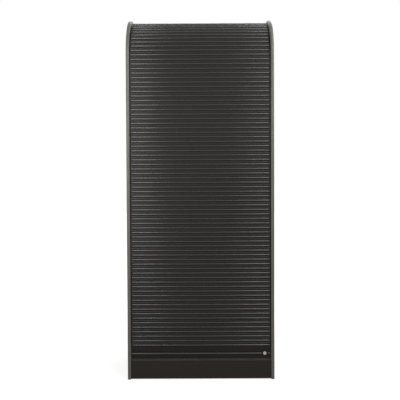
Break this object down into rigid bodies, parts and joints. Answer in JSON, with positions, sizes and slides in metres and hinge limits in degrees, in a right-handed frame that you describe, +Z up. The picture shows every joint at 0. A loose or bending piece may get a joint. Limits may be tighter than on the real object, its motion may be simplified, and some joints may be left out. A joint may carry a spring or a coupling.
{
  "type": "roll front tool cabinet",
  "caption": "Tall free-standing cabinet with a rounded front top corner, a slatted roll-front curtain with a lockable lead rail, adjustable shelves and a plinth.",
  "frame": {"origin": "on the floor, under the middle of the cabinet's outline", "axes": "+X to the right seen from the front, +Y to the back, +Z up"},
  "size_m": [0.766, 0.44, 1.92],
  "materials": {
    "side_board": "grey-beige melamine, matte",
    "edging": "grey-beige, satin",
    "track": "dark grey, satin",
    "plinth_board": "dark brown melamine, matte",
    "inner_board": "grey-beige melamine, matte",
    "false_back": "grey-beige melamine, matte",
    "back_panel": "painted hardboard, matte",
    "slat": "dark grey, satin",
    "rail": "dark grey, satin",
    "seal": "matte",
    "nickel": "warm nickel, polished",
    "zinc_steel": "zinc plated",
    "cast_zinc": "cast, dull",
    "dowel": "bare beech",
    "glide": "black, matte"
  },
  "bodies": {
    "carcass": {"side_panel_left": "side_board", "side_panel_right": "side_board", "edging_left": "edging", "edging_right": "edging", "track_left": "track", "track_right": "track", "plinth_board": "plinth_board", "rear_rail": "plinth_board", "bottom_panel": "inner_board", "inner_top": "inner_board", "top_board": "inner_board", "shelf_1": "inner_board", "shelf_2": "inner_board", "shelf_3": "inner_board", "shelf_4": "inner_board", "false_back": "false_back", "back_panel": "back_panel", "shelf_pins": "zinc_steel", "floor_glides": "glide", "cam_bolts": "zinc_steel", "cam_discs": "cast_zinc", "plinth_dowels": "dowel", "back_screws": "zinc_steel", "strike_plate": "zinc_steel", "strike_screws": "zinc_steel", "front_slats": "slat", "upper_slats": "slat", "curve_slats": "slat", "top_slats": "slat"},
    "lead_rail_unit": {"lead_rail": "rail", "rail_end_guides": "track", "rail_seal": "seal", "lock_barrel": "nickel", "lock_nut": "zinc_steel"},
    "lock_core": {"lock_plug": "nickel", "lock_hook": "zinc_steel", "hook_screw": "zinc_steel"}
  },
  "joints": [
    {"name": "curtain_lift", "type": "slide", "parent": "carcass", "child": "lead_rail_unit", "axis": [0, 0, 1], "range_m": [0, 1.4369], "deforming": ["front_slats"]},
    {"name": "lock_turn", "type": "hinge", "parent": "lead_rail_unit", "child": "lock_core", "pos_m": [0.333, -0.1838, 0.1365], "axis": [0, -1, 0], "range_deg": [0, 90]}
  ]
}
